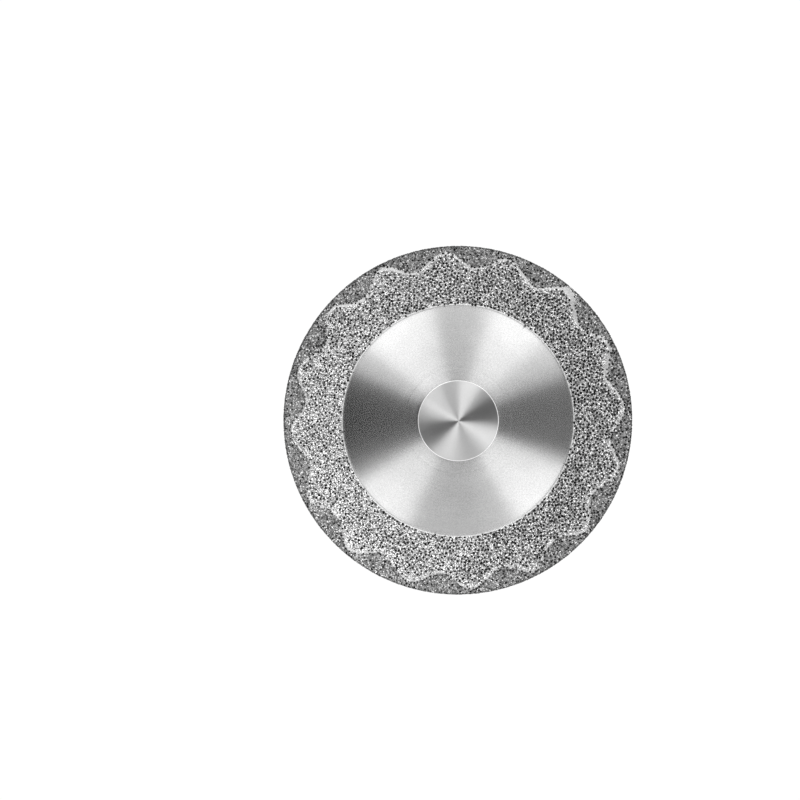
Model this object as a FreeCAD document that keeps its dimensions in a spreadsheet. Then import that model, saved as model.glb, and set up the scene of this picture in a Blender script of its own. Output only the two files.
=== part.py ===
import FreeCAD, Part
import Sketcher
import math
import os

# A thin flexible diamond disc, permanently mounted on a handpiece mandrel.
# Millimetres, +Z up the axis with the head uppermost, origin at the centre of the shank's tail end.

doc = FreeCAD.newDocument("flexible_diamond_disc")
Vec = FreeCAD.Vector

# Driving dimensions
SIZES = [
    ("disc_diameter", 22.0),
    ("coating_width", 3.7),
    ("core_thickness", 0.15),
    ("coat_thickness", 0.125),
    ("rim_bevel", 0.05),
    ("wave_count", 16),
    ("wave_phase", 4.75),
    ("crest_margin", 0.38),
    ("wave_depth", 0.92),
    ("wave_bend", 1.0),
    ("slope_run", 0.2),
    ("core_cover", 0.3),
    ("neck_diameter", 1.8),
    ("bore_clearance", 0.02),
    ("washer_diameter", 6.7),
    ("washer_thickness", 0.1),
    ("head_diameter", 5.1),
    ("head_band", 0.55),
    ("dome_height", 0.5),
    ("head_bevel", 0.06),
    ("spigot_depth", 0.6),
    ("spigot_bevel", 0.12),
    ("flange_diameter", 5.0),
    ("flange_thickness", 0.5),
    ("flange_round", 0.15),
    ("flare_height", 1.2),
    ("flare_spread", 0.9),
    ("shank_diameter", 2.35),
    ("shank_length", 41.4),
    ("tail_bevel", 0.3),
]

sheet = doc.addObject("Spreadsheet::Sheet", "Sizes")
for row, (alias, number) in enumerate(SIZES, start=1):
    sheet.set(f"A{row}", alias)
    sheet.set(f"B{row}", str(number))
    sheet.setAlias(f"B{row}", alias)
doc.recompute()

# Levels up the axis and radii that several pieces share, as expressions on the sheet
FLANGE_UNDER = "(Sizes.shank_length + Sizes.flare_height)"
SEAT = f"({FLANGE_UNDER} + Sizes.flange_thickness)"
CORE_MIDDLE = f"({SEAT} + Sizes.washer_thickness + Sizes.core_thickness / 2)"
UPPER_WASHER = f"({SEAT} + Sizes.washer_thickness + Sizes.core_thickness)"
HEAD_UNDER = f"({UPPER_WASHER} + Sizes.washer_thickness)"
NECK_RADIUS = "(Sizes.neck_diameter / 2)"
BORE_RADIUS = f"({NECK_RADIUS} + Sizes.bore_clearance)"
SHANK_RADIUS = "(Sizes.shank_diameter / 2)"
DISC_RADIUS = "(Sizes.disc_diameter / 2)"
COAT_INNER = f"({DISC_RADIUS} - Sizes.coating_width)"
RIM_THICKNESS = "(2 * Sizes.coat_thickness)"
BAND_THICKNESS = f"({RIM_THICKNESS} + Sizes.core_thickness)"

# The wave's middle line: where its crests and troughs lie, and half of one wave in degrees
CREST = f"({DISC_RADIUS} - Sizes.crest_margin)"
TROUGH = f"({CREST} - Sizes.wave_depth)"
HALF_WAVE = "(180 / Sizes.wave_count)"
CORE_OUTSET = "(0 - Sizes.core_cover)"

# The numbers that a sketch has for its two axes, for the points of an edge and for its origin
X_AXIS, Y_AXIS = range(-1, -3, -1)
START, END, CENTRE = range(1, 4)
ORIGIN = (X_AXIS, START)
UP = Vec(0, 0, 1)

# How closely an edge must lie to where it is looked for
TOUCH = 1e-4


def size(expression):
    """The number that an expression on the sheet stands for."""
    return float(sheet.evalExpression(expression))


def new_body(label, level="0", turn="0"):
    """A body standing on the axis at a level and turned about it."""
    body = doc.addObject("PartDesign::Body", label)
    body.Label = label
    body.Placement = FreeCAD.Placement(Vec(), FreeCAD.Rotation(UP, 0))
    body.setExpression("Placement.Base.z", f"{level} * 1 mm")
    body.setExpression("Placement.Rotation.Angle", f"{turn} * 1 deg")
    return body


def new_sketch(body, name, plane="XY_Plane"):
    """A sketch flat on one of its own body's origin planes."""
    sketch = body.newObject("Sketcher::SketchObject", name)
    support = next(item for item in body.Origin.OriginFeatures if item.Role == plane)
    sketch.AttachmentSupport = [(support, "")]
    sketch.MapMode = "FlatFace"
    return sketch


def bind(sketch, kind, places, expression):
    """A dimension of the sketch, driven by an expression on the sheet."""
    number, unit = size(expression), "mm"
    if kind == "Angle":
        number, unit = math.radians(number), "deg"
    index = sketch.addConstraint(Sketcher.Constraint(kind, *places, number))
    sketch.setExpression(f"Constraints[{index}]", f"{expression} * 1 {unit}")


def place(sketch, point, x, y):
    """Pin a point of the sketch at an (x, y) given as expressions."""
    for kind, axis, expression in (("DistanceX", Y_AXIS, x), ("DistanceY", X_AXIS, y)):
        if expression == "0":
            sketch.addConstraint(Sketcher.Constraint("PointOnObject", *point, axis))
        else:
            bind(sketch, kind, (*ORIGIN, *point), expression)


def rings(body, name, *radii):
    """A sketch of circles about the axis."""
    sketch = new_sketch(body, name)
    for radius in radii:
        circle = sketch.addGeometry(Part.Circle(Vec(), UP, size(radius)))
        sketch.addConstraint(Sketcher.Constraint("Coincident", circle, CENTRE, *ORIGIN))
        bind(sketch, "Radius", (circle,), radius)
    return sketch


def arc_between(centre, first, last):
    """The anticlockwise arc about a centre from one point to another."""
    angles = [math.atan2(point.y - centre.y, point.x - centre.x) for point in (first, last)]
    circle = Part.Circle(centre, UP, (first - centre).Length)
    return Part.ArcOfCircle(circle, angles[0], angles[1] + (2 * math.pi if angles[1] < angles[0] else 0))


def outline(body, name, corners, arcs):
    """A closed half-section right of the axis on the XZ plane.

    Each corner is an (x, y) pair of expressions. An entry of arcs turns the side that starts at
    that corner into an arc: its centre's x or y, as an expression, and whether it runs anticlockwise.
    """
    sketch = new_sketch(body, name, "XZ_Plane")
    points = [Vec(size(x), size(y), 0) for x, y in corners]
    ends = []
    for i, first in enumerate(points):
        last = points[(i + 1) % len(points)]
        if i not in arcs:
            side = sketch.addGeometry(Part.LineSegment(first, last))
            ends.append(((side, START), (side, END)))
            continue
        axis, expression, anticlockwise = arcs[i]
        known, middle, across = size(expression), (first + last) / 2, last - first
        if axis == "x":
            centre = Vec(known, middle.y - (known - middle.x) * across.x / across.y, 0)
        else:
            centre = Vec(middle.x - (known - middle.y) * across.y / across.x, known, 0)
        pair = (first, last) if anticlockwise else (last, first)
        side = sketch.addGeometry(arc_between(centre, *pair))
        ends.append(((side, START), (side, END)) if anticlockwise else ((side, END), (side, START)))
    for i, (first, last) in enumerate(ends):
        following = ends[(i + 1) % len(ends)][0]
        sketch.addConstraint(Sketcher.Constraint("Coincident", *last, *following))
        place(sketch, first, *corners[i])
        if i in arcs:
            axis, expression, _ = arcs[i]
            centre = (first[0], CENTRE)
            if expression == "0":
                sketch.addConstraint(Sketcher.Constraint("PointOnObject", *centre, Y_AXIS))
            else:
                bind(sketch, f"Distance{axis.upper()}", (*ORIGIN, *centre), expression)
    return sketch


def lobe(body, name, outset):
    """One wave's wedge of a scalloped disc, from the axis out.

    Crests and troughs are arcs about fixed centres, joined by flanks that are tangent to both. An
    outset moves the whole outline off the wave's middle line, outwards where it is positive.
    """
    sketch = new_sketch(body, name)
    crest_x = f"({CREST} - Sizes.wave_bend)"
    trough_reach = f"({TROUGH} + Sizes.wave_bend)"
    crest_bend = f"(Sizes.wave_bend + {outset})"
    trough_bend = f"(Sizes.wave_bend - {outset})"

    # The crest's and the trough's centres, and the tangent points on the flank between them
    half = math.radians(size(HALF_WAVE))
    crest = Vec(size(crest_x), 0, 0)
    trough = size(trough_reach) * Vec(math.cos(half), math.sin(half), 0)
    apart = trough - crest
    lean = math.acos((size(crest_bend) + size(trough_bend)) / apart.Length)
    across = math.atan2(apart.y, apart.x) - lean
    normal = Vec(math.cos(across), math.sin(across), 0)
    flank_top = crest + size(crest_bend) * normal
    flank_foot = trough - size(trough_bend) * normal
    floor = trough * ((size(trough_reach) - size(trough_bend)) / size(trough_reach))

    def mirrored(point):
        return Vec(point.x, -point.y, 0)

    edges = [
        Part.LineSegment(Vec(), mirrored(floor)),
        arc_between(mirrored(trough), mirrored(flank_foot), mirrored(floor)),
        Part.LineSegment(mirrored(flank_foot), mirrored(flank_top)),
        arc_between(crest, mirrored(flank_top), flank_top),
        Part.LineSegment(flank_top, flank_foot),
        arc_between(trough, floor, flank_foot),
        Part.LineSegment(floor, Vec()),
    ]
    ray, low_trough, low_flank, top, high_flank, high_trough, far_ray = sketch.addGeometry(edges)

    for joint in (
        ("Coincident", ray, START, *ORIGIN),
        ("Coincident", far_ray, END, *ORIGIN),
        ("Coincident", ray, END, low_trough, END),
        ("Coincident", high_trough, START, far_ray, START),
        ("Tangent", low_trough, START, low_flank, START),
        ("Tangent", low_flank, END, top, START),
        ("Tangent", top, END, high_flank, START),
        ("Tangent", high_flank, END, high_trough, END),
        ("PointOnObject", top, CENTRE, X_AXIS),
        ("PointOnObject", low_trough, CENTRE, ray),
        ("PointOnObject", high_trough, CENTRE, far_ray),
    ):
        sketch.addConstraint(Sketcher.Constraint(*joint))
    bind(sketch, "DistanceX", (*ORIGIN, top, CENTRE), crest_x)
    bind(sketch, "Radius", (top,), crest_bend)
    bind(sketch, "Angle", (ray, START, X_AXIS, START), HALF_WAVE)
    bind(sketch, "Angle", (X_AXIS, START, far_ray, END), HALF_WAVE)
    for trough_arc in (low_trough, high_trough):
        bind(sketch, "Distance", (*ORIGIN, trough_arc, CENTRE), trough_reach)
        bind(sketch, "Radius", (trough_arc,), trough_bend)
    return sketch


def extrude(body, name, sketch, thickness, kind="Pad"):
    """A pad or pocket of the sketch, half of its thickness each side of the sketch."""
    feature = body.newObject(f"PartDesign::{kind}", name)
    feature.Profile = sketch
    feature.SideType = "Symmetric"
    feature.setExpression("Length", f"{thickness} * 1 mm")
    return feature


def repeat_wave(body, name, feature):
    """The wedge repeated round the axis, once for each wave."""
    pattern = body.newObject("PartDesign::PolarPattern", name)
    pattern.Originals = [feature]
    axis = next(item for item in body.Origin.OriginFeatures if item.Role == "Z_Axis")
    pattern.Axis = (axis, [""])
    pattern.Angle = 360
    pattern.setExpression("Occurrences", "Sizes.wave_count")
    body.Tip = pattern
    doc.recompute()
    return pattern


def revolve(body, name, sketch):
    """The half-section turned about the axis."""
    turned = body.newObject("PartDesign::Revolution", name)
    turned.Profile = sketch
    turned.ReferenceAxis = (sketch, ["V_Axis"])
    turned.Angle = 360
    doc.recompute()
    return turned


def circles_at(feature, radius, level):
    """The names of a feature's circular edges at a radius and a level, both given as expressions."""
    names = []
    for number, edge in enumerate(feature.Shape.Edges, start=1):
        if not edge.Degenerated and isinstance(edge.Curve, Part.Circle):
            at_radius = math.isclose(edge.Curve.Radius, size(radius), abs_tol=TOUCH)
            at_level = math.isclose(edge.Curve.Center.z, size(level), abs_tol=TOUCH)
            if at_radius and at_level:
                names.append(f"Edge{number}")
    return names


def dress(body, kind, name, base, edges, **sizes):
    """A fillet or chamfer on named edges of a feature."""
    feature = body.newObject(f"PartDesign::{kind}", name)
    if "Size2" in sizes:
        feature.ChamferType = "Two distances"
    feature.Base = (base, edges)
    for key, expression in sizes.items():
        feature.setExpression(key, f"{expression} * 1 mm")
    doc.recompute()
    return feature


def scalloped(body, name, outset, thickness, kind="Pad"):
    """A plate with the wavy edge, added to a body or cut from it."""
    wedge = extrude(body, f"{name}_wedge", lobe(body, f"{name}_lobe", outset), thickness, kind)
    return repeat_wave(body, f"{name}_waves", wedge)


def make_core():
    """The thin spring-steel core, bored for the neck, its wavy edge inside the coating."""
    body = new_body("steel_core", CORE_MIDDLE, "Sizes.wave_phase")
    scalloped(body, "core", CORE_OUTSET, "Sizes.core_thickness")
    extrude(body, "core_bore", rings(body, "core_bore_ring", BORE_RADIUS), "Sizes.core_thickness", "Pocket")
    return body


def make_coating():
    """The diamond coating, in one piece round the core.

    A band as thick as the core and both coats ends in a wavy slope. Past it the two coats lie back
    to back as the thinner rim.
    """
    body = new_body("diamond_coating", CORE_MIDDLE, "Sizes.wave_phase")
    band = scalloped(body, "band", "Sizes.slope_run / 2", BAND_THICKNESS)
    half_band = size(BAND_THICKNESS) / 2
    brink = [
        f"Edge{number}"
        for number, edge in enumerate(band.Shape.Edges, start=1)
        if abs(abs(edge.BoundBox.ZMin) - half_band) < TOUCH and edge.BoundBox.ZLength < TOUCH
    ]
    dress(body, "Chamfer", "wavy_slope", band, brink, Size="Sizes.core_thickness / 2", Size2="Sizes.slope_run")

    rim = extrude(body, "rim", rings(body, "rim_ring", DISC_RADIUS), RIM_THICKNESS)
    doc.recompute()
    corners = circles_at(rim, DISC_RADIUS, f"{RIM_THICKNESS} / 2")
    corners += circles_at(rim, DISC_RADIUS, f"-{RIM_THICKNESS} / 2")
    dress(body, "Chamfer", "rim_bevels", rim, corners, Size="Sizes.rim_bevel")

    scalloped(body, "core_seat", CORE_OUTSET, "Sizes.core_thickness", "Pocket")
    extrude(body, "coating_bore", rings(body, "coating_bore_ring", COAT_INNER), BAND_THICKNESS, "Pocket")
    return body


def make_washer(label, level):
    """A thin hub washer that spreads the clamping over the core."""
    body = new_body(label, f"({level} + Sizes.washer_thickness / 2)")
    washer = rings(body, f"{label}_rings", "Sizes.washer_diameter / 2", BORE_RADIUS)
    extrude(body, f"{label}_plate", washer, "Sizes.washer_thickness")
    return body


def make_head():
    """The turned, domed head, bored blind from below for the mandrel's spigot."""
    body = new_body("mandrel_head", HEAD_UNDER)
    radius = "Sizes.head_diameter / 2"
    corners = [
        ("0", "Sizes.spigot_depth"),
        (NECK_RADIUS, "Sizes.spigot_depth"),
        (NECK_RADIUS, "0"),
        (radius, "0"),
        (radius, "Sizes.head_band"),
        ("0", "(Sizes.head_band + Sizes.dome_height)"),
    ]
    turned = revolve(body, "head_turning", outline(body, "head_section", corners, {4: ("x", "0", True)}))
    crown = circles_at(turned, radius, "Sizes.head_band")
    dress(body, "Chamfer", "crown_bevel", turned, crown, Size="Sizes.head_bevel")
    return body


def make_mandrel():
    """The mandrel: shank, flare, flange, and the neck that carries the disc and the head."""
    body = new_body("mandrel")
    flange = "Sizes.flange_diameter / 2"
    spigot_end = f"({HEAD_UNDER} + Sizes.spigot_depth)"
    flare_reach = f"({SHANK_RADIUS} + Sizes.flare_spread)"
    corners = [
        ("0", "0"),
        (SHANK_RADIUS, "0"),
        (SHANK_RADIUS, "Sizes.shank_length"),
        (flare_reach, FLANGE_UNDER),
        (flange, FLANGE_UNDER),
        (flange, SEAT),
        (NECK_RADIUS, SEAT),
        (NECK_RADIUS, spigot_end),
        ("0", spigot_end),
    ]
    section = outline(body, "mandrel_section", corners, {2: ("y", "Sizes.shank_length", False)})
    turned = revolve(body, "mandrel_turning", section)
    tail_edge = circles_at(turned, SHANK_RADIUS, "0")
    tail = dress(body, "Chamfer", "tail_bevel", turned, tail_edge, Size="Sizes.tail_bevel")
    spigot_edge = circles_at(tail, NECK_RADIUS, spigot_end)
    lead_in = dress(body, "Chamfer", "spigot_lead_in", tail, spigot_edge, Size="Sizes.spigot_bevel")
    flange_edge = circles_at(lead_in, flange, FLANGE_UNDER)
    dress(body, "Fillet", "flange_rounding", lead_in, flange_edge, Radius="Sizes.flange_round")
    return body


pieces = [
    make_mandrel(),
    make_washer("lower_hub_washer", SEAT),
    make_core(),
    make_coating(),
    make_washer("upper_hub_washer", UPPER_WASHER),
    make_head(),
]
doc.recompute()

for item in doc.Objects:
    if "Invalid" in item.State or "Error" in item.State:
        raise RuntimeError(f"{item.Name} did not compute: {item.State}")
for piece in pieces:
    if piece.Shape.isNull() or not piece.Shape.isValid() or len(piece.Shape.Solids) != 1:
        raise RuntimeError(f"{piece.Label} is not one valid solid")

os.makedirs("parts", exist_ok=True)
for piece in pieces:
    piece.Shape.exportStep(f"parts/{piece.Label}.step")
    print(f"{piece.Label}: {piece.Shape.Volume:.3f} mm3")
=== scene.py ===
import math

import bpy
import numpy as np
from mathutils import Matrix, Vector


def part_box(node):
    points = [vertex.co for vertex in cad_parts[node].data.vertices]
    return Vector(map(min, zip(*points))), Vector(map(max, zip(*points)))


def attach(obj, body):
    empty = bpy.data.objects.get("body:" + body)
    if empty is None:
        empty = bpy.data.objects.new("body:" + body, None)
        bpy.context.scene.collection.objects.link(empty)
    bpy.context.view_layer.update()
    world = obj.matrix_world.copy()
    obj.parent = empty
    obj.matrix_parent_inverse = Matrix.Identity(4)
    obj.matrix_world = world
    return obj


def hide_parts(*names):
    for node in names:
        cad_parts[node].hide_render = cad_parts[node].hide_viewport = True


# A mounted flexible diamond disc, lit softly and seen from its head side.
# Metres throughout; +Z runs up the mandrel, and the disc lies flat near the top of it.

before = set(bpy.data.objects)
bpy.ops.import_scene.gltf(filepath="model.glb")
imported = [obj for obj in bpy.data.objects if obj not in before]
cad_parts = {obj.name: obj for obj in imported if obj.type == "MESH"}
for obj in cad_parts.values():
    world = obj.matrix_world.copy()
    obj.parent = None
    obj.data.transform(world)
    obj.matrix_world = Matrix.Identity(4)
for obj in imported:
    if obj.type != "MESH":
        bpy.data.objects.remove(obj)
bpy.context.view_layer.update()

MM = 0.001
SEED = 22

# Turned pieces
NECK_RADIUS = 0.9 * MM
BORE_RADIUS = 0.92 * MM
SHANK_RADIUS = 1.175 * MM
SHANK_LENGTH = 41.4 * MM
TAIL_BEVEL = 0.3 * MM
FLARE_SPREAD = 0.9 * MM
FLARE_HEIGHT = 1.2 * MM
FLANGE_ROUND = 0.15 * MM
SPIGOT_DEPTH = 0.6 * MM
SPIGOT_BEVEL = 0.12 * MM
HEAD_BAND = 0.55 * MM
HEAD_EDGE_WIDTH = 0.036 * MM
HEAD_EDGE_DROP = 0.03 * MM
WASHER_ROUND = 0.005 * MM
EDGE_BREAK = 0.03 * MM

# How finely the turned pieces are divided, and the angle from which their edges stay sharp
TURN_STEPS = 256
FLARE_STEPS = 25
ROUND_STEPS = 9
DOME_STEPS = 65
SHARP_FROM = math.radians(18)
ON_AXIS = 1e-9

# The coating's wave and step
WAVES = 16
WAVE_STEPS = 9
WAVE_PHASE = math.radians(4.75)
CREST_MARGIN = 0.38 * MM
WAVE_DEPTH = 0.92 * MM
WAVE_BEND = 1.0 * MM
SLOPE_RUN = 0.2 * MM
COATING_WIDTH = 3.7 * MM
COAT_THICKNESS = 0.125 * MM

# The smooth lip at the coating's inner edge
LIP_WIDTH = 0.07 * MM
LIP_LIFT = 0.02 * MM
LIP_OVERHANG = 0.3 * LIP_LIFT

# The smooth nickel along the slope: its inner edge past the wave's middle line, its width, how far
# both stray, how far it runs on under the grains, and how far its top and its underside lie over
# the coating's face
STRIP_INNER = -0.06 * MM
STRIP_WIDTH = 0.03 * MM
STRIP_STRAY = 0.05 * MM
STRIP_TUCK = 0.05 * MM
STRIP_PROUD = 0.003 * MM
STRIP_ROOT = -0.02 * MM
# Where that nickel is wide: (degrees round from +X, how many degrees it reaches, added mm)
WIDE_PLACES = (
    (12, 3, 0.07), (18, 4, 0.12), (25, 3, 0.20), (43, 3, 0.18), (49, 3, 0.42),
    (67, 3, 0.09), (114, 5, 0.15), (132, 4, 0.09), (205, 4, 0.07), (228, 4, 0.12),
    (275, 3, 0.05), (326, 4, 0.05), (346, 4, 0.10),
)

# Grains: how far each may stray on its grid, in spacings, how unevenly it is stretched and its
# corners pulled, how ragged the edge of a field of them is, and how far the rim's field keeps
# from the disc's edge
GRID_JITTER = 0.36
GRAIN_STRETCH = 0.3
CORNER_PULL = 0.15
RAGGED_MM = 0.04
RIM_MARGIN = 0.07 * MM
# Dark grains are larger. They are thickest on one side of the disc, where they also stand prouder,
# as painted shade on that side. They are sparse on the band beside the slope, and dense on the rim
# beside it, where they paint the shadow at the slope's foot
DARK_SIZE = 1.55
PAINTED_SHADE_SIDE = 0.2  # radians round from +X
PAINTED_SHADE_MORE = 0.15
DARK_PROUD = 0.1
PAINTED_SHADE_PROUD = 0.3
BAND_BESIDE = 0.24 * MM
BAND_BESIDE_SHARE = 0.35
# The rim's dark grains beside the slope paint the shadow at the slope's foot
RIM_SHADOW_REACH = 0.1 * MM
RIM_SHADOW_SHARE = 0.9
# Rows of fine grains on the outer edge: (mm in from the disc's radius, mm over its mid-plane),
# and how far each grain may stray round, out and up from its place, in spacings and in sizes
EDGE_ROWS = (
    (0.035, 0.11), (0.01, 0.07), (0.0, 0.02), (0.0, -0.02), (0.01, -0.07), (0.035, -0.11),
)
EDGE_SPACING = 0.07 * MM
EDGE_SIZE = 0.046 * MM
EDGE_STRETCH = 0.25
EDGE_INSET_MM = 0.015
EDGE_JITTER = 0.4
EDGE_OUT = (-0.4, 0.2)
EDGE_UP = 0.3

coating_low, coating_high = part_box("diamond_coating")
DISC_RADIUS = round((coating_high.x - coating_low.x) / 2, 5)
DISC_LEVEL = (coating_low.z + coating_high.z) / 2
BAND_HALF = (coating_high.z - coating_low.z) / 2
RIM_HALF = COAT_THICKNESS
CORE_HALF = BAND_HALF - COAT_THICKNESS
CREST_RADIUS = DISC_RADIUS - CREST_MARGIN
TROUGH_RADIUS = CREST_RADIUS - WAVE_DEPTH

# The wave's middle line: arcs about these centres, joined by flanks that are tangent to both
HALF_WAVE = math.pi / WAVES
CREST_CENTRE = np.array([CREST_RADIUS - WAVE_BEND, 0.0])
TROUGH_CENTRE = (TROUGH_RADIUS + WAVE_BEND) * np.array([math.cos(HALF_WAVE), math.sin(HALF_WAVE)])
APART = TROUGH_CENTRE - CREST_CENTRE
FLANK_FACES = math.atan2(APART[1], APART[0]) - math.acos(2 * WAVE_BEND / np.hypot(*APART))

# The parts of smooth noise's range, 0 to 1, that hold most of it, more of it and nearly all of it
MOST = (0.3, 0.7)
MORE = (0.25, 0.75)
NEARLY_ALL = (0.2, 0.8)

# The fineness of the materials' noises, and how deep pits and facets are
CLOUDS = 900.0
SPECKS = 12000.0
PITS = 11000.0
FACETS = 13000.0
FACET_GRAIN = 26000.0
LINES_ALONG = 400
CLOUD_TONE = 0.015
PIT_DEPTH = 0.006 * MM
# The anisotropic rotation that spreads a reflection across the turned lines, and how much further
# it is turned on the head
ACROSS_LINES = 0.25
HEAD_TWIST = 0.054
# The reach from the axis over which the bare core gets paler: painted light that lifts the shade
# the coating's wall casts on the core's outer part
PAINTED_LIGHT_REACH = (4.5 * MM, 7.3 * MM)


# Shader nodes

class Value:
    """A socket of a node tree. Arithmetic on it adds Math nodes."""

    def __init__(self, tree, socket):
        self.tree = tree
        self.socket = socket

    def __add__(self, other):
        return self.tree.maths("ADD", self, other)

    def __radd__(self, other):
        return self.tree.maths("ADD", other, self)

    def __sub__(self, other):
        return self.tree.maths("SUBTRACT", self, other)

    def __rsub__(self, other):
        return self.tree.maths("SUBTRACT", other, self)

    def __mul__(self, other):
        return self.tree.maths("MULTIPLY", self, other)

    def __rmul__(self, other):
        return self.tree.maths("MULTIPLY", other, self)

    def __pow__(self, other):
        return self.tree.maths("POWER", self, other)

    def __rpow__(self, other):
        return self.tree.maths("POWER", other, self)


class Tree:
    """The node tree of a material or of the world."""

    def __init__(self, owner):
        owner.use_nodes = True
        self.nodes = owner.node_tree.nodes
        self.links = owner.node_tree.links
        self.nodes.clear()

    def node(self, kind, settings=None, sockets=None, out=0):
        """A node of a type, its settings made first, then the values or links of its sockets."""
        made = self.nodes.new(kind)
        for name, setting in (settings or {}).items():
            if name == "stops":
                ramp = made.color_ramp.elements
                while len(ramp) < len(setting):
                    ramp.new(0.5)
                for stop, (position, level) in zip(ramp, setting):
                    stop.position = position
                    stop.color = grey(level)
            else:
                setattr(made, name, setting)
        for name, value in (sockets or {}).items():
            if isinstance(value, Value):
                self.links.new(value.socket, made.inputs[name])
            else:
                made.inputs[name].default_value = value
        return Value(self, made.outputs[out]) if made.outputs else None

    def maths(self, operation, *numbers):
        """A Math node on one number or two."""
        return self.node("ShaderNodeMath", {"operation": operation}, dict(enumerate(numbers)))

    def noise(self, place, scale, detail=2.0, roughness=0.5):
        """Smooth noise from 0 to 1."""
        sockets = {"Vector": place, "Scale": scale, "Detail": detail, "Roughness": roughness}
        return self.node("ShaderNodeTexNoise", {"noise_dimensions": "3D"}, sockets)

    def fit(self, value, span, low, high):
        """A value's span stretched to run from a low to a high, and kept inside them."""
        return self.node("ShaderNodeMapRange", {"clamp": True}, {
            "Value": value,
            "From Min": span[0],
            "From Max": span[1],
            "To Min": low,
            "To Max": high,
        })

    def vary(self, noise, span, middle, spread):
        """A noise's span turned into numbers up to a spread either side of a middle one."""
        return self.fit(noise, span, middle - spread, middle + spread)

    def split(self, vector):
        """A vector's x, y and z."""
        return [
            self.node("ShaderNodeSeparateXYZ", sockets={0: vector}, out=axis) for axis in range(3)
        ]

    def place(self):
        """The point's place on the object, in metres."""
        return self.node("ShaderNodeTexCoord", out="Object")

    def neutral(self, level):
        """A neutral colour as pale as a value."""
        return self.node("ShaderNodeCombineColor", sockets={0: level, 1: level, 2: level})

    def bump(self, height, strength=1.0, distance=1.0):
        """A normal tilted by a height."""
        sockets = {"Strength": strength, "Distance": distance, "Height": height}
        return self.node("ShaderNodeBump", sockets=sockets)


def grey(level):
    """A neutral colour."""
    return (level, level, level, 1)


def make_material(name, paint):
    """A material whose Principled sockets come from a function of its tree."""
    material = bpy.data.materials.new(name)
    tree = Tree(material)
    surface = tree.node("ShaderNodeBsdfPrincipled", sockets=paint(tree))
    tree.node("ShaderNodeOutputMaterial", sockets={"Surface": surface})
    return material


def steel(
    name, tone, roughness, anisotropy, pitch, depth, streaks, specks,
    twist=0.0, bow=0.0, painted_light_out=0.0, along_axis=False,
):
    """Bare steel with fine lines of a pitch and a depth that run round the axis.

    Streaks follow the lines, and specks don't. A bow above 0 bends what the steel mirrors like a
    shallow dome, and one below 0 like a dish.
    """
    def paint(tree):
        point = tree.place()
        x, y, z = tree.split(point)
        reach = (x * x + y * y) ** 0.5
        across = z if along_axis else reach
        lines_at = tree.node(
            "ShaderNodeCombineXYZ", sockets={0: across * (1 / pitch), 1: z * LINES_ALONG})
        lines = tree.noise(lines_at, 1.0, 3.0, 0.6)
        clouds = tree.noise(point, CLOUDS)
        dots = tree.noise(point, SPECKS, 1.0)
        # Paler out from the axis: painted light against the shade near the coating's wall
        shade = tree.fit(reach, PAINTED_LIGHT_REACH, tone, tone + painted_light_out)
        shade = shade + tree.vary(clouds, MOST, 0.0, CLOUD_TONE)
        shade = shade + tree.vary(lines, MORE, 0.0, streaks) + tree.vary(dots, MORE, 0.0, specks)
        return {
            "Base Color": tree.neutral(shade),
            "Metallic": 1.0,
            "Roughness": tree.vary(lines, NEARLY_ALL, roughness, streaks),
            "Anisotropic": anisotropy,
            "Anisotropic Rotation": ACROSS_LINES - twist,
            "Normal": tree.bump(lines * depth - reach * reach * bow),
        }

    return make_material(name, paint)


def nickel(name, dark, pale, roughness):
    """Plated nickel, finely pitted: darkened between the grains as painted shade, or pale where it
    is bare.
    """
    def paint(tree):
        pits = tree.noise(tree.place(), PITS, 3.0)
        return {
            "Base Color": tree.neutral(tree.fit(pits, MOST, dark, pale)),
            "Metallic": 0.8,
            "Roughness": tree.vary(pits, MOST, roughness, 0.06),
            "Normal": tree.bump(pits, strength=0.6, distance=PIT_DEPTH),
        }

    return make_material(name, paint)


def diamond_grit(name, stops, roughness, facet_tones=0.25, metallic=0.6, shine=0.5):
    """Diamond grains in their nickel: each grain has a tone, and each facet a little of its own."""
    def paint(tree):
        point = tree.place()
        grain = tree.node("ShaderNodeNewGeometry", out="Random Per Island")
        facets = tree.noise(point, FACETS)
        tone = grain + (facets - 0.5) * facet_tones
        pits = tree.noise(point, FACET_GRAIN, 1.0)
        return {
            "Base Color": tree.node("ShaderNodeValToRGB", {"stops": stops}, {"Fac": tone}),
            "Metallic": metallic,
            "Specular IOR Level": shine,
            "Roughness": tree.vary(facets, MOST, roughness, 0.08),
            "Normal": tree.bump(pits, strength=0.35, distance=PIT_DEPTH),
        }

    return make_material(name, paint)


# Geometry

def add_piece(name, points, faces, material, node=None):
    """A mesh piece in its place on the part, standing for a CAD node where one is named."""
    mesh = bpy.data.meshes.new(name)
    mesh.from_pydata(points, [], faces)
    mesh.materials.append(material)
    piece = bpy.data.objects.new(name, mesh)
    bpy.context.scene.collection.objects.link(piece)
    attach(piece, "root")
    if node:
        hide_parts(node)
    return piece


def arc(centre, radius, first, last, steps):
    """Points (r, z) along an arc, angles in degrees from the +r direction."""
    angles = np.radians(np.linspace(first, last, steps))
    return [(centre[0] + radius * math.cos(a), centre[1] + radius * math.sin(a)) for a in angles]


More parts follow.
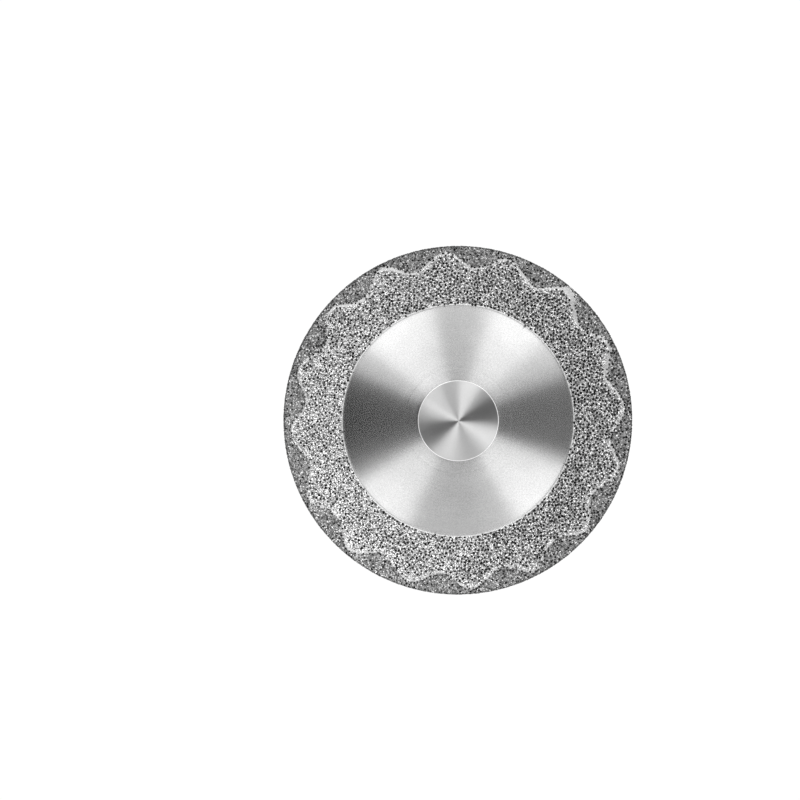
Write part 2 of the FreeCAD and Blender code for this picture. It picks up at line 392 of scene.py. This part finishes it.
def turned(name, section, material, node=None, highlight_material=None, edge_row=None):
    """A closed section of (r, z) points turned about the axis.

    The section runs anticlockwise as seen with r to the right. The side of it that starts at the
    edge row gets the highlight material, if one is given: on the head, a paler steel that paints a
    highlight there.
    """
    points, rows, faces, edge_faces = [], [], [], []
    for r, z in section:
        if r < ON_AXIS:
            rows.append([len(points)] * TURN_STEPS)
            points.append((0.0, 0.0, z))
            continue
        rows.append(list(range(len(points), len(points) + TURN_STEPS)))
        for i in range(TURN_STEPS):
            a = 2 * math.pi * i / TURN_STEPS
            points.append((r * math.cos(a), r * math.sin(a), z))
    for row, (low, high) in enumerate(zip(rows, rows[1:] + rows[:1])):
        for i in range(TURN_STEPS):
            j = (i + 1) % TURN_STEPS
            corners = [low[i], low[j], high[j], high[i]]
            face = [c for k, c in enumerate(corners) if c != corners[k - 1]]
            if len(face) > 2:
                if row == edge_row:
                    edge_faces.append(len(faces))
                faces.append(face)
    piece = add_piece(name, points, faces, material, node)
    if highlight_material:
        piece.data.materials.append(highlight_material)
        for face in edge_faces:
            piece.data.polygons[face].material_index = 1
    piece.data.shade_smooth()
    piece.data.set_sharp_from_angle(angle=SHARP_FROM)
    return piece


def make_mandrel(material):
    """Shank, flare, flange and neck."""
    flange_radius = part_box("mandrel")[1].x
    spigot_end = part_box("mandrel")[1].z
    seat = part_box("lower_hub_washer")[0].z
    under = SHANK_LENGTH + FLARE_HEIGHT
    bend = (FLARE_SPREAD ** 2 + FLARE_HEIGHT ** 2) / (2 * FLARE_SPREAD)
    turn = math.degrees(math.asin(FLARE_HEIGHT / bend))
    section = [(0, 0), (SHANK_RADIUS - TAIL_BEVEL - EDGE_BREAK, 0)]
    section += [(SHANK_RADIUS - TAIL_BEVEL, EDGE_BREAK / 3)]
    section += [(SHANK_RADIUS - EDGE_BREAK / 3, TAIL_BEVEL)]
    section += [(SHANK_RADIUS, TAIL_BEVEL + EDGE_BREAK)]
    section += arc((SHANK_RADIUS + bend, SHANK_LENGTH), bend, 180, 180 - turn, FLARE_STEPS)
    rounding = (flange_radius - FLANGE_ROUND, under + FLANGE_ROUND)
    section += arc(rounding, FLANGE_ROUND, -90, 0, ROUND_STEPS)
    section += [(flange_radius, seat - EDGE_BREAK), (flange_radius - EDGE_BREAK, seat)]
    section += [(NECK_RADIUS, seat), (NECK_RADIUS, spigot_end - SPIGOT_BEVEL)]
    section += [(NECK_RADIUS - SPIGOT_BEVEL, spigot_end), (0, spigot_end)]
    turned("mandrel_turned", section, material, "mandrel")


def make_head(material, highlight_material):
    """The domed head, with its bevelled crown and its blind bore."""
    low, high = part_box("mandrel_head")
    radius = high.x
    dome_height = high.z - (low.z + HEAD_BAND)
    bend = (radius ** 2 + dome_height ** 2) / (2 * dome_height)
    edge_angle = math.degrees(math.acos((radius - HEAD_EDGE_WIDTH) / bend))
    dome = arc((0, high.z - bend), bend, edge_angle, 90, DOME_STEPS)
    section = [(NECK_RADIUS, low.z), (radius - EDGE_BREAK, low.z), (radius, low.z + EDGE_BREAK)]
    edge_row = len(section)
    section += [(radius, dome[0][1] - HEAD_EDGE_DROP)] + dome
    section += [(0, low.z + SPIGOT_DEPTH), (NECK_RADIUS, low.z + SPIGOT_DEPTH)]
    turned(
        "mandrel_head_domed", section, material, "mandrel_head",
        highlight_material, edge_row)


def make_washer(node, material):
    """A thin washer with its outer edges just broken."""
    low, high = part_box(node)
    edge = high.x
    section = [(BORE_RADIUS, low.z), (edge - WASHER_ROUND, low.z), (edge, low.z + WASHER_ROUND)]
    section += [(edge, high.z - WASHER_ROUND), (edge - WASHER_ROUND, high.z)]
    section += [(BORE_RADIUS, high.z)]
    turned(f"{node}_plate", section, material, node)


def make_lip(face, name, material):
    """The smooth lip of one face's coating, up its inner wall and just over its top."""
    inner = DISC_RADIUS - COATING_WIDTH
    wall, back = inner - LIP_OVERHANG, inner + LIP_WIDTH
    low, high = CORE_HALF, BAND_HALF + LIP_LIFT
    section = [(wall, low), (back, low), (back, high - 0.4 * LIP_LIFT)]
    section += [(inner + 0.6 * LIP_WIDTH, high), (inner + 0.3 * LIP_WIDTH, high - 0.1 * LIP_LIFT)]
    section += [(wall, high - 1.2 * LIP_LIFT)]
    placed = [(r, DISC_LEVEL + face * z) for r, z in section]
    turned(f"{name}_inner_lip", placed[::face], material)


def past_the_wave(x, y):
    """How far points lie outside the wave's middle line, negative inside it."""
    angle = np.arctan2(y, x) - WAVE_PHASE
    folded = np.abs((angle + HALF_WAVE) % (2 * HALF_WAVE) - HALF_WAVE)
    reach = np.hypot(x, y)
    point = np.stack([reach * np.cos(folded), reach * np.sin(folded)])
    outward = np.array([math.cos(FLANK_FACES), math.sin(FLANK_FACES)])
    flank_top = CREST_CENTRE + WAVE_BEND * outward
    flank_foot = TROUGH_CENTRE - WAVE_BEND * outward
    length = np.hypot(*(flank_foot - flank_top))
    travel = (flank_foot - flank_top) / length @ (point - flank_top[:, None])
    crest = np.hypot(*(point - CREST_CENTRE[:, None])) - WAVE_BEND
    trough = WAVE_BEND - np.hypot(*(point - TROUGH_CENTRE[:, None]))
    flank = outward @ (point - flank_top[:, None])
    return np.where(travel < 0, crest, np.where(travel > length, trough, flank))


def wave_line():
    """The wave's middle line all round the disc, anticlockwise: its points and which way is out."""
    def fan(first, last):
        return [np.array([math.cos(a), math.sin(a)]) for a in np.linspace(first, last, WAVE_STEPS)]

    half = [(CREST_CENTRE + WAVE_BEND * out, out) for out in fan(0, FLANK_FACES)]
    half += [(TROUGH_CENTRE - WAVE_BEND * out, out) for out in fan(FLANK_FACES, HALF_WAVE)]
    flip = np.array([1, -1])
    whole = [(point * flip, out * flip) for point, out in half[:0:-1]] + half[:-1]
    line = []
    for turn in WAVE_PHASE + 2 * HALF_WAVE * np.arange(WAVES):
        spin = np.array([[math.cos(turn), -math.sin(turn)], [math.sin(turn), math.cos(turn)]])
        line += [(spin @ point, spin @ out) for point, out in whole]
    return np.array(line)


def coating_height(past):
    """Height of the coating's face over the mid-plane, by distance past the wave's middle line."""
    return RIM_HALF + (BAND_HALF - RIM_HALF) * np.clip(0.5 - past / SLOPE_RUN, 0, 1)


def bare_strip(azimuth, face):
    """Inner and outer edge of the smooth nickel along the slope, wider and narrower by turns."""
    def stray(slow, slow_start, fast, fast_start):
        beat = np.sin(slow * azimuth + slow_start) * np.sin(fast * azimuth + fast_start)
        return STRIP_STRAY * beat

    inner = STRIP_INNER + stray(5, face, 23, 2.0)
    width = STRIP_WIDTH + stray(3, 0.8 * face, 37, 1.0)
    for degrees, reach, extra in WIDE_PLACES:
        away = (azimuth * face - math.radians(degrees) + math.pi) % (2 * math.pi) - math.pi
        width = width + extra * MM * np.exp(-(away / math.radians(reach)) ** 2)
    return inner, inner + width


def make_seam(face, name, material):
    """The smooth nickel along the slope of one face, laid in the coating, its top just proud."""
    line = wave_line()
    azimuth = np.arctan2(line[:, 0, 1], line[:, 0, 0])
    inner, outer = bare_strip(azimuth, face)
    inner, outer = inner - STRIP_TUCK, outer + STRIP_TUCK
    half = SLOPE_RUN / 2
    top = [inner] + [np.clip(past, inner, outer) for past in (-half, 0, half)] + [outer]
    rows = [(past, STRIP_PROUD) for past in top] + [(outer, STRIP_ROOT), (inner, STRIP_ROOT)]
    points, count = [], len(line)
    for past, lift in rows:
        place = line[:, 0] + line[:, 1] * past[:, None]
        height = DISC_LEVEL + face * (coating_height(past) + lift)
        points += np.column_stack([place, height]).tolist()
    faces = []
    for row in range(len(rows)):
        here, there = row * count, (row + 1) % len(rows) * count
        for i in range(count):
            j = (i + 1) % count
            side = (here + i, there + i, there + j, here + j)
            faces.append(side if face > 0 else side[::-1])
    add_piece(f"{name}_slope_nickel", points, faces, material)


# Grains

OCTAHEDRON = (
    [(1, 0, 0), (-1, 0, 0), (0, 1, 0), (0, -1, 0), (0, 0, 1), (0, 0, -1)],
    [(0, 2, 4), (2, 1, 4), (1, 3, 4), (3, 0, 4), (2, 0, 5), (1, 2, 5), (3, 1, 5), (0, 3, 5)],
)
BLOCK = (
    [
        (-1, -1, -1), (1, -1, -1), (1, 1, -1), (-1, 1, -1),
        (-1, -1, 1), (1, -1, 1), (1, 1, 1), (-1, 1, 1),
    ],
    [(0, 3, 2, 1), (4, 5, 6, 7), (0, 1, 5, 4), (1, 2, 6, 5), (2, 3, 7, 6), (3, 0, 4, 7)],
)


def scattered(spacing, draw):
    """Points over the disc's square on a jittered triangular grid."""
    rows = int(2 * DISC_RADIUS / (spacing * math.sqrt(3) / 2)) + 2
    columns = int(2 * DISC_RADIUS / spacing) + 2
    row, column = np.meshgrid(np.arange(rows), np.arange(columns), indexing="ij")
    x = (column + 0.5 * (row % 2)) * spacing - DISC_RADIUS
    y = row * spacing * math.sqrt(3) / 2 - DISC_RADIUS
    x = x + draw.uniform(-GRID_JITTER, GRID_JITTER, x.shape) * spacing
    y = y + draw.uniform(-GRID_JITTER, GRID_JITTER, y.shape) * spacing
    return x.ravel(), y.ravel()


def spaced_out(x, y, gap, draw):
    """Which points to take, in a random order, so that no two taken lie closer than a gap."""
    taken = np.zeros(len(x), bool)
    cells = {}
    for i in draw.permutation(len(x)).tolist():
        column, row = int(x[i] // gap), int(y[i] // gap)
        around = [(column + a, row + b) for a in (-1, 0, 1) for b in (-1, 0, 1)]
        near = [other for cell in around for other in cells.get(cell, ())]
        if all(math.dist((x[i], y[i]), other) > gap for other in near):
            taken[i] = True
            cells.setdefault((column, row), []).append((x[i], y[i]))
    return taken


def turns(count, draw):
    """Random rotation matrices."""
    q = draw.normal(size=(count, 4))
    q /= np.linalg.norm(q, axis=1)[:, None]
    w, x, y, z = q.T
    return np.stack([
        np.stack([1 - 2 * (y * y + z * z), 2 * (x * y - z * w), 2 * (x * z + y * w)], 1),
        np.stack([2 * (x * y + z * w), 1 - 2 * (x * x + z * z), 2 * (y * z - x * w)], 1),
        np.stack([2 * (x * z - y * w), 2 * (y * z + x * w), 1 - 2 * (x * x + y * y)], 1),
    ], 1)


def make_grains(name, centres, size, stretch, material, draw):
    """Sharp grains, half octahedra and half blocks, each turned and stretched its own way."""
    points, faces, base = [], [], 0
    kinds = draw.random(len(centres)) < 0.5
    for (corners, sides), chosen in ((OCTAHEDRON, kinds), (BLOCK, ~kinds)):
        middle = centres[chosen]
        shape = np.array(corners, float)
        shape /= np.linalg.norm(shape, axis=1).max()
        local = shape[None] * (size * draw.uniform(1 - stretch, 1 + stretch, (len(middle), 1, 3)))
        local = local * draw.uniform(1 - CORNER_PULL, 1 + CORNER_PULL, local.shape)
        placed = np.einsum("nij,nkj->nki", turns(len(middle), draw), local) + middle[:, None]
        points.append(placed.reshape(-1, 3))
        starts = base + np.arange(len(middle)) * len(shape)
        faces += [tuple(start + c for c in side) for start in starts.tolist() for side in sides]
        base += len(middle) * len(shape)
    add_piece(name, np.concatenate(points).tolist(), faces, material)


def make_grit(face, name, band_material, rim_material, dark_material, draw):
    """The grains of one face: coarse on the band up to the slope, fine on the rim past it."""
    def sow(kind, spacing, size, sunk, proud, dark_gap, dark_share, material):
        x, y = scattered(spacing, draw)
        inner, outer = bare_strip(np.arctan2(y, x), face)
        past = past_the_wave(x, y)
        ragged = draw.uniform(-RAGGED_MM, RAGGED_MM, len(x)) * MM
        if kind == "band":
            start = DISC_RADIUS - COATING_WIDTH + LIP_WIDTH + ragged
            keep = (np.hypot(x, y) > start) & (past < inner + ragged)
        else:
            keep = (np.hypot(x, y) < DISC_RADIUS - RIM_MARGIN) & (past > outer + ragged)
        x, y, past, outer = x[keep], y[keep], past[keep], outer[keep]
        # The side where dark grains gather and stand prouder is painted shade
        painted_shade_side = np.cos(np.arctan2(y, x) * face - PAINTED_SHADE_SIDE)
        share = dark_share * (1 + PAINTED_SHADE_MORE * painted_shade_side)
        if kind == "band":
            share = np.where(past > -BAND_BESIDE, BAND_BESIDE_SHARE, share)
        else:
            # Dense dark grains at the slope's foot: painted shadow
            share = np.where(past < outer + RIM_SHADOW_REACH, RIM_SHADOW_SHARE, share)
        dark = spaced_out(x, y, dark_gap, draw) & (draw.random(len(x)) < share)
        height = coating_height(past) + draw.uniform(-sunk, proud, len(x)) * size
        centres = np.stack([x, y, DISC_LEVEL + face * height], 1)
        make_grains(f"{name}_{kind}_grains", centres[~dark], size, GRAIN_STRETCH, material, draw)
        centres[:, 2] += face * (DARK_PROUD + PAINTED_SHADE_PROUD * painted_shade_side) * size
        make_grains(
            f"{name}_dark_{kind}_grains", centres[dark], DARK_SIZE * size, GRAIN_STRETCH,
            dark_material, draw)

    sow(
        "band", spacing=0.107 * MM, size=0.062 * MM, sunk=0.45, proud=0.2,
        dark_gap=0.165 * MM, dark_share=0.88, material=band_material)
    sow(
        "rim", spacing=0.1 * MM, size=0.056 * MM, sunk=0.55, proud=0.15,
        dark_gap=0.155 * MM, dark_share=0.45, material=rim_material)


def make_edge_grains(material, draw):
    """The fine grains on the rim's outer edge, over its bevels and its side, near black as painted
    shade along the edge.
    """
    count = int(2 * math.pi * DISC_RADIUS / EDGE_SPACING)
    rows = []
    for inset, level in EDGE_ROWS:
        stray = draw.uniform(-EDGE_JITTER, EDGE_JITTER, count)
        angle = (np.arange(count) + stray) * 2 * math.pi / count
        out = DISC_RADIUS - (inset + EDGE_INSET_MM) * MM
        out = out + draw.uniform(*EDGE_OUT, count) * EDGE_SIZE
        height = DISC_LEVEL + level * MM + draw.uniform(-EDGE_UP, EDGE_UP, count) * EDGE_SIZE
        rows.append(np.stack([out * np.cos(angle), out * np.sin(angle), height], 1))
    make_grains("edge_grains", np.concatenate(rows), EDGE_SIZE, EDGE_STRETCH, material, draw)


# Studio

FRAME_PIXELS = 800
DISC_PIXELS = 348.5
DISC_AT_PIXELS = (457.9, 420.3)
CAMERA_DISTANCE = 1.2
CAMERA_LEAN = math.radians(3.2)
CAMERA_SIDE = math.radians(130)
CAMERA_CLIP = (0.01, 10)
SENSOR_WIDTH = 36

# Standing panels: (degrees round from +X, half the width in degrees, brightness). The two widest
# fill in between the others, and the faint one lifts the dark side on the right a little.
PANELS = (
    (51, 16, 1.13), (121, 22, 1.1), (235, 17, 1.85), (318, 16, 1.05),
    (87, 71, 1.02), (296, 42, 0.78), (9, 24, 0.18),
)
PANEL_SOFTNESS = 7
# How far up a direction points, as its z: where the bright horizon fades into the panels, where
# the panels fade into the darker zone overhead, and where the ground's brightness takes over
HORIZON_REACH = (0.15, 0.5)
HORIZON_LEVEL = 1.15
OVERHEAD_REACH = (0.965, 0.995)
OVERHEAD_LEVEL = 0.5
GROUND_REACH = (-0.1, 0.0)

# The floor: how dark its painted reflection of the panels is between them, its tone, and how much
# of it glows how brightly, so that it shows white and still takes the shadow
FLOOR_SHADE = 0.35
FLOOR_TONE = 0.85
FLOOR_GLOW = 1.04
FLOOR_GLOW_SHARE = 0.88
FLOOR_HALF = 0.6
FLOOR_LEVEL = -0.02 * MM

LAMP_SIDE = math.radians(227)
LAMP_LEAN = math.radians(64)
LAMP_DISTANCE = 28 * MM
LAMP_WIDTH = 12 * MM
LAMP_POWER = 0.0072


def towards(side, lean):
    """The direction that leans away from +Z, to a side that is counted round from +X."""
    return Vector((
        math.sin(lean) * math.cos(side),
        math.sin(lean) * math.sin(side),
        math.cos(lean),
    ))


def make_camera():
    """A long lens almost straight above the head, with the disc right of the frame's middle."""
    pixel = 2 * DISC_RADIUS / DISC_PIXELS
    back = towards(CAMERA_SIDE, CAMERA_LEAN)
    up = (Vector((0, 1, 0)) - back.y * back).normalized()
    right = up.cross(back)
    aim = Vector((0, 0, DISC_LEVEL))
    aim -= right * (DISC_AT_PIXELS[0] - FRAME_PIXELS / 2) * pixel
    aim += up * (DISC_AT_PIXELS[1] - FRAME_PIXELS / 2) * pixel
    data = bpy.data.cameras.new("camera")
    data.sensor_width = SENSOR_WIDTH
    data.lens = SENSOR_WIDTH * CAMERA_DISTANCE / (FRAME_PIXELS * pixel)
    data.clip_start, data.clip_end = CAMERA_CLIP
    camera = bpy.data.objects.new("camera", data)
    turn = Matrix((right, up, back)).transposed().to_4x4()
    camera.matrix_world = Matrix.Translation(aim + back * CAMERA_DISTANCE) @ turn
    bpy.context.scene.collection.objects.link(camera)
    bpy.context.scene.camera = camera


def panel(tree, turn, degrees, reach, level):
    """One soft-edged panel standing in the studio, by how far round from it a direction lies."""
    away = tree.maths("ABSOLUTE", tree.maths("FRACT", turn - degrees / 360 + 1.5) - 0.5)
    return tree.node("ShaderNodeMapRange", {"interpolation_type": "SMOOTHSTEP"}, {
        "Value": away,
        "From Min": (reach + PANEL_SOFTNESS / 2) / 360,
        "From Max": (reach - PANEL_SOFTNESS / 2) / 360,
        "To Min": 0.0,
        "To Max": level,
    })


def studio_panels(tree, x, y):
    """The brightness of all the panels in a direction across the floor."""
    turn = tree.maths("ARCTAN2", y, x) * (0.5 / math.pi)
    return sum(panel(tree, turn, *each) for each in PANELS)


def ground_level(tree, panels):
    """How bright the ground is in a direction in which the panels are this bright."""
    return tree.fit(panels, (0.0, 1.0), FLOOR_SHADE, 1.0)


def make_floor():
    """A plain pale floor under the shank's tail."""
    mesh = bpy.data.meshes.new("floor")
    corners = [
        (FLOOR_HALF * across, FLOOR_HALF * along, FLOOR_LEVEL)
        for across, along in ((-1, -1), (1, -1), (1, 1), (-1, 1))
    ]
    mesh.from_pydata(corners, [], [(0, 1, 2, 3)])
    floor = bpy.data.objects.new("floor", mesh)
    bpy.context.scene.collection.objects.link(floor)
    material = bpy.data.materials.new("pale_floor")
    tree = Tree(material)
    x, y = tree.split(tree.place())[:2]
    diffuse = tree.node("ShaderNodeBsdfDiffuse", sockets={"Color": grey(FLOOR_TONE)})
    seen = tree.node("ShaderNodeLightPath", out="Is Camera Ray")
    mirrored = tree.node("ShaderNodeLightPath", out="Is Glossy Ray")
    # In the steel the floor glows with the panels' pattern: a painted reflection of the studio on
    # it
    level = seen + mirrored * ground_level(tree, studio_panels(tree, x, y))
    sockets = {"Color": tree.neutral(level), "Strength": FLOOR_GLOW}
    glow = tree.node("ShaderNodeEmission", sockets=sockets)
    share = (seen + mirrored) * FLOOR_GLOW_SHARE
    shown = tree.node("ShaderNodeMixShader", sockets={0: share, 1: diffuse, 2: glow})
    tree.node("ShaderNodeOutputMaterial", sockets={"Surface": shown})
    mesh.materials.append(material)


def make_world():
    """A soft studio, dark to the left and right between its panels and dimmer straight overhead.

    The horizon is bright all round. The camera sees plain white.
    """
    world = bpy.data.worlds.new("studio")
    bpy.context.scene.world = world
    tree = Tree(world)
    x, y, z = tree.split(tree.node("ShaderNodeTexCoord", out="Generated"))
    panels = studio_panels(tree, x, y)
    low_down = tree.fit(z, HORIZON_REACH, 1.0, 0.0)
    underneath = tree.fit(z, GROUND_REACH, 1.0, 0.0)
    overhead = tree.fit(z, OVERHEAD_REACH, 1.0, OVERHEAD_LEVEL)
    above = panels * overhead * (1 - low_down) + HORIZON_LEVEL * low_down
    strength = above * (1 - underneath) + ground_level(tree, panels) * underneath
    studio = tree.node("ShaderNodeBackground", sockets={"Color": grey(1.0), "Strength": strength})
    white = tree.node("ShaderNodeBackground", sockets={"Color": grey(1.0), "Strength": 1.0})
    seen = tree.node("ShaderNodeLightPath", out="Is Camera Ray")
    shown = tree.node("ShaderNodeMixShader", sockets={0: seen, 1: studio, 2: white})
    tree.node("ShaderNodeOutputWorld", sockets={"Surface": shown})


def make_lamp():
    """A round softbox on one side of the disc, kept out of the steel's reflections."""
    data = bpy.data.lights.new("near_softbox", "AREA")
    data.shape = "DISK"
    data.size = LAMP_WIDTH
    data.energy = LAMP_POWER
    lamp = bpy.data.objects.new("near_softbox", data)
    direction = towards(LAMP_SIDE, LAMP_LEAN)
    lamp.location = Vector((0, 0, DISC_LEVEL)) + direction * LAMP_DISTANCE
    lamp.rotation_mode = "QUATERNION"
    lamp.rotation_quaternion = (-direction).to_track_quat("-Z", "Y")
    lamp.visible_camera = False
    lamp.visible_glossy = False
    bpy.context.scene.collection.objects.link(lamp)


# The finished part

def paint_node(node, material):
    """A CAD node that shows as it is, in a material."""
    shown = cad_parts[node]
    shown.data.materials.clear()
    shown.data.materials.append(material)


def make_steel_pieces():
    """The mandrel, its head, the washers and the bare core."""
    shank_steel = steel(
        "shank_steel", tone=0.6, roughness=0.26, anisotropy=0.8, pitch=0.02 * MM,
        depth=0.0004 * MM, streaks=0.035, specks=0.02, along_axis=True)
    head_steel = steel(
        "head_steel", tone=0.54, roughness=0.3, anisotropy=1.0, pitch=0.03 * MM,
        depth=0.00003 * MM, streaks=0.005, specks=0.015, twist=HEAD_TWIST, bow=-68)
    # The head's bevel is its steel made paler and smoother: its bright ring is partly the bevel's
    # real reflection, partly a painted highlight
    bevel_highlight_steel = steel(
        "bevel_steel_painted_highlight", tone=0.9, roughness=0.12, anisotropy=0.0, pitch=0.03 * MM,
        depth=0.0001 * MM, streaks=0.02, specks=0.01)
    sheet_steel = steel(
        "satin_sheet_steel", tone=0.58, roughness=0.24, anisotropy=1.0, pitch=0.03 * MM,
        depth=0.0002 * MM, streaks=0.02, specks=0.05, bow=12, painted_light_out=0.04)
    make_mandrel(shank_steel)
    make_head(head_steel, bevel_highlight_steel)
    make_washer("lower_hub_washer", sheet_steel)
    make_washer("upper_hub_washer", sheet_steel)
    paint_node("steel_core", sheet_steel)


def make_coating(draw):
    """The nickel between the grains, the smooth nickel beside them, and the grains."""
    # Between the grains the nickel is made dark: painted shade where the grains shade it
    painted_shade_nickel = nickel("nickel_between_grains_painted_shade", dark=0.12, pale=0.34, roughness=0.45)
    bare_nickel = nickel("bare_nickel", dark=0.42, pale=0.7, roughness=0.5)
    # The lip's nickel is paler than the bare nickel: a painted highlight along the lip, on top of
    # its real reflection
    lip_nickel_painted_highlight = nickel("lip_nickel_painted_highlight", dark=0.6, pale=0.8, roughness=0.4)
    # How pale a grain is, by its random number: (number, tone)
    coarse = [(0.0, 0.27), (0.2, 0.67), (0.4, 0.88), (0.6, 0.93), (1.0, 0.95)]
    fine = [(0.0, 0.04), (0.3, 0.12), (0.5, 0.32), (0.75, 0.64), (1.0, 0.92)]
    dark = [(0.0, 0.0), (0.6, 0.005), (1.0, 0.06)]
    # The edge grains' near-black tones paint the shade along the disc's edge
    edge = [(0.0, 0.0), (0.6, 0.02), (1.0, 0.2)]
    band_grit = diamond_grit("coarse_diamond", coarse, roughness=0.22, facet_tones=0.5)
    rim_grit = diamond_grit("fine_diamond", fine, roughness=0.3, facet_tones=0.35)
    dark_grit = diamond_grit("dark_diamond", dark, roughness=0.35, metallic=0.0, shine=0.12)
    edge_shade_grit = diamond_grit("edge_diamond_painted_shade", edge, roughness=0.4, metallic=0.2, shine=0.2)
    paint_node("diamond_coating", painted_shade_nickel)
    for face, name in ((1, "upper"), (-1, "lower")):
        make_seam(face, name, bare_nickel)
        make_lip(face, name, lip_nickel_painted_highlight)
        make_grit(face, name, band_grit, rim_grit, dark_grit, draw)
    make_edge_grains(edge_shade_grit, draw)


def main():
    """The studio, and the disc in it."""
    make_camera()
    make_world()
    make_floor()
    make_lamp()
    make_steel_pieces()
    make_coating(np.random.default_rng(SEED))
    bpy.context.scene.view_settings.view_transform = "Standard"


main()
